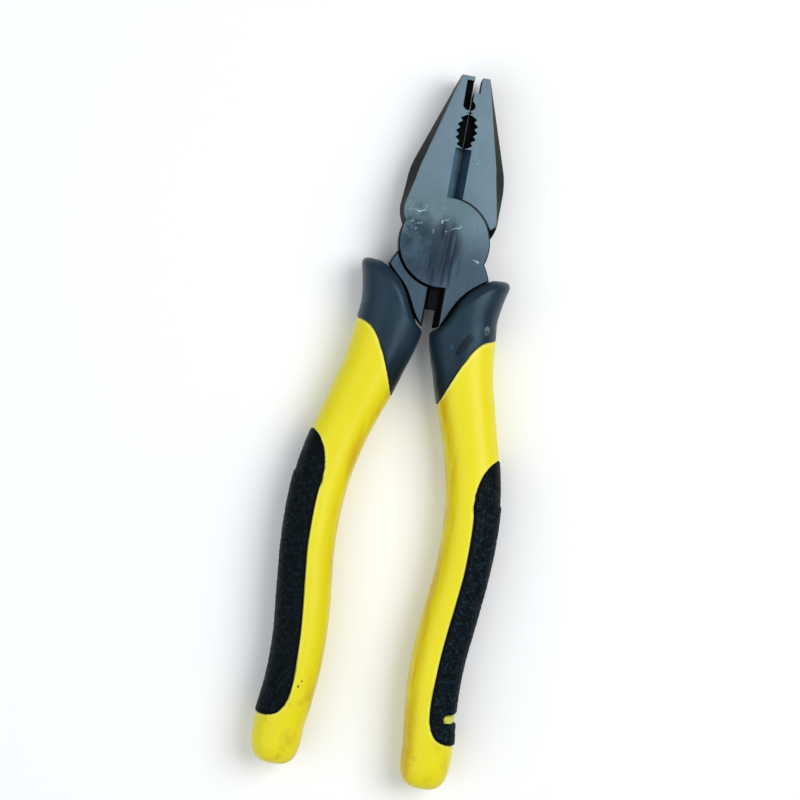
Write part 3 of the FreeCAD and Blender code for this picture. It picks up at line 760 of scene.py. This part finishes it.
def core_plastic(name):
    """Dull dark plastic, hidden inside the grip."""
    n = Nodes(name)
    tone = n.mix(n.noise(200.0), srgb(20, 20, 20), srgb(36, 36, 36))
    return n.finish(Base_Color=tone, Roughness=0.6, Normal=n.bump(n.noise(900.0), 0.00003, 0.4))


# ---------------------------------------------------------------- scene

def paint(obj, material):
    obj.data.materials.clear()
    obj.data.materials.append(material)


def dress_grips():
    """The left-jaw lever carries the right grip, whose pad has the window."""
    yellow = yellow_plastic("yellow_plastic")
    rubber = collar_rubber("collar_rubber")
    black = pad_rubber("pad_rubber")
    core = core_plastic("core_plastic")
    for side, body, windowed in (("right", "left_jaw_side", True), ("left", "right_jaw_side", False)):
        left = side == "left"
        shell = shell_mesh(side + "_shell_moulding", left, windowed)
        collar = collar_mesh(side + "_collar_moulding", left)
        pad = pad_mesh(side + "_pad_moulding", left, windowed)
        made = [
            (shell, side + "_grip_shell", yellow, "yellow_shell"),
            (collar, side + "_guard_collar", rubber, "collar_rubber"),
            (pad, side + "_palm_pad", black, "pad_rubber"),
        ]
        for obj, node, material, slot in made:
            paint(obj, material)
            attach(obj, body)
            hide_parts(node)
        paint(frame["nodes"][side + "_grip_core"], core)


def dress_steel():
    """The CAD nodes of the head keep their shape and take the steel."""
    material = steel("ground_and_forged_steel")
    for node in ("left_jaw_lever", "right_jaw_lever", "pivot_rivet"):
        paint(frame["nodes"][node], material)


def set_floor():
    """A wide pale floor under the tool."""
    reach = 3.0
    corners = [(-reach, -reach, 0), (reach, -reach, 0), (reach, reach, 0), (-reach, reach, 0)]
    mesh = bpy.data.meshes.new("floor")
    mesh.from_pydata(corners, [], [(0, 1, 2, 3)])
    floor = bpy.data.objects.new("floor", mesh)
    bpy.context.scene.collection.objects.link(floor)
    n = Nodes("pale_floor")
    tone = n.mix(n.noise(8.0), (0.93, 0.93, 0.93, 1), (0.95, 0.95, 0.95, 1))
    paint(floor, n.finish(Base_Color=tone, Roughness=0.9))


def area_light(name, place, size, power, colour=(1, 1, 1)):
    """A rectangular light that points at the origin."""
    data = bpy.data.lights.new(name, "AREA")
    data.shape = "RECTANGLE"
    data.size, data.size_y = size
    data.energy = power
    data.color = colour
    light = bpy.data.objects.new(name, data)
    light.location = place
    light.rotation_euler = (Vector((0, 0, 0)) - Vector(place)).to_track_quat("-Z", "Y").to_euler()
    bpy.context.scene.collection.objects.link(light)


def set_lights():
    """Soft light from a pale room, with a key light from the right and a wide fill from the left."""
    world = bpy.data.worlds.new("studio")
    bpy.context.scene.world = world
    world.use_nodes = True
    background = world.node_tree.nodes["Background"]
    background.inputs["Color"].default_value = (0.93, 0.97, 1.0, 1)
    background.inputs["Strength"].default_value = 0.36
    area_light("key", (0.42, 0.22, 0.75), (0.6, 0.6), 5.4)
    area_light("fill", (-0.45, -0.2, 0.65), (0.9, 0.9), 3.0, (0.92, 0.97, 1.0))
    bpy.context.scene.view_settings.view_transform = "Standard"


def set_camera():
    """Nearly straight above, leaning to the tool's left, with the tool rolled in the picture."""
    distance, width, lean, roll = 0.75, 0.240, 2.4, 10.2
    aim = Vector((PIVOT.x - 4.55 * MM, PIVOT.y - 48.4 * MM, PIVOT.z))
    turn = Matrix.Rotation(math.radians(-lean), 4, "Y") @ Matrix.Rotation(math.radians(roll), 4, "Z")
    data = bpy.data.cameras.new("camera")
    data.sensor_width = 36.0
    data.lens = data.sensor_width * distance / width
    camera = bpy.data.objects.new("camera", data)
    camera.matrix_world = Matrix.Translation(aim) @ turn @ Matrix.Translation((0, 0, distance))
    bpy.context.scene.collection.objects.link(camera)
    bpy.context.scene.camera = camera


set_camera()
dress_steel()
dress_grips()
set_floor()
set_lights()
